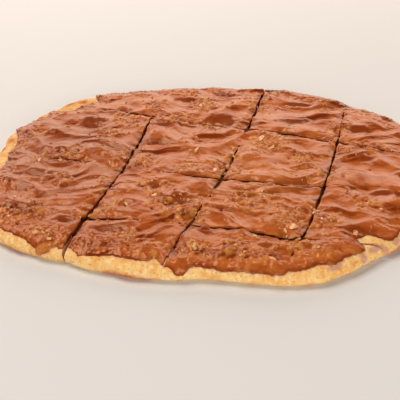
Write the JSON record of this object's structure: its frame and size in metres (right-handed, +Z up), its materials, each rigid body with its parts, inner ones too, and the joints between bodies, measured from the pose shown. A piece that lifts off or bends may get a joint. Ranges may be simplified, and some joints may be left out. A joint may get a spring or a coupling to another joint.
{
  "type": "chocolate and nut pizza pie",
  "caption": "Flat round-cornered bread base spread with chocolate and chopped nuts, cut both ways into slices that keep the whole pie's shape.",
  "frame": {"origin": "on the surface that the pie lies on, under the middle of its outline", "axes": "+X to the right as pictured, the pie's longer way across; +Y to the back; +Z up, through its thickness"},
  "size_m": [0.3026, 0.2533, 0.0148],
  "materials": {
    "baked_dough": "baked bread, dry and pale gold, finely pitted, browned in spots underneath",
    "nut_chocolate": "set chocolate spread, satin to glossy, in waves over chopped nuts"
  },
  "bodies": {
    "root": {"dough_r1c1": "baked_dough", "dough_r1c2": "baked_dough", "dough_r1c3": "baked_dough", "dough_r1c4": "baked_dough", "dough_r2c1": "baked_dough", "dough_r2c2": "baked_dough", "dough_r2c3": "baked_dough", "dough_r2c4": "baked_dough", "dough_r3c1": "baked_dough", "dough_r3c2": "baked_dough", "dough_r3c3": "baked_dough", "dough_r3c4": "baked_dough", "dough_r4c1": "baked_dough", "dough_r4c2": "baked_dough", "dough_r4c3": "baked_dough", "dough_r4c4": "baked_dough", "chocolate_r1c1": "nut_chocolate", "chocolate_r1c2": "nut_chocolate", "chocolate_r1c3": "nut_chocolate", "chocolate_r1c4": "nut_chocolate", "chocolate_r2c1": "nut_chocolate", "chocolate_r2c2": "nut_chocolate", "chocolate_r2c3": "nut_chocolate", "chocolate_r2c4": "nut_chocolate", "chocolate_r3c1": "nut_chocolate", "chocolate_r3c2": "nut_chocolate", "chocolate_r3c3": "nut_chocolate", "chocolate_r3c4": "nut_chocolate", "chocolate_r4c1": "nut_chocolate", "chocolate_r4c2": "nut_chocolate", "chocolate_r4c3": "nut_chocolate", "chocolate_r4c4": "nut_chocolate"}
  },
  "joints": []
}
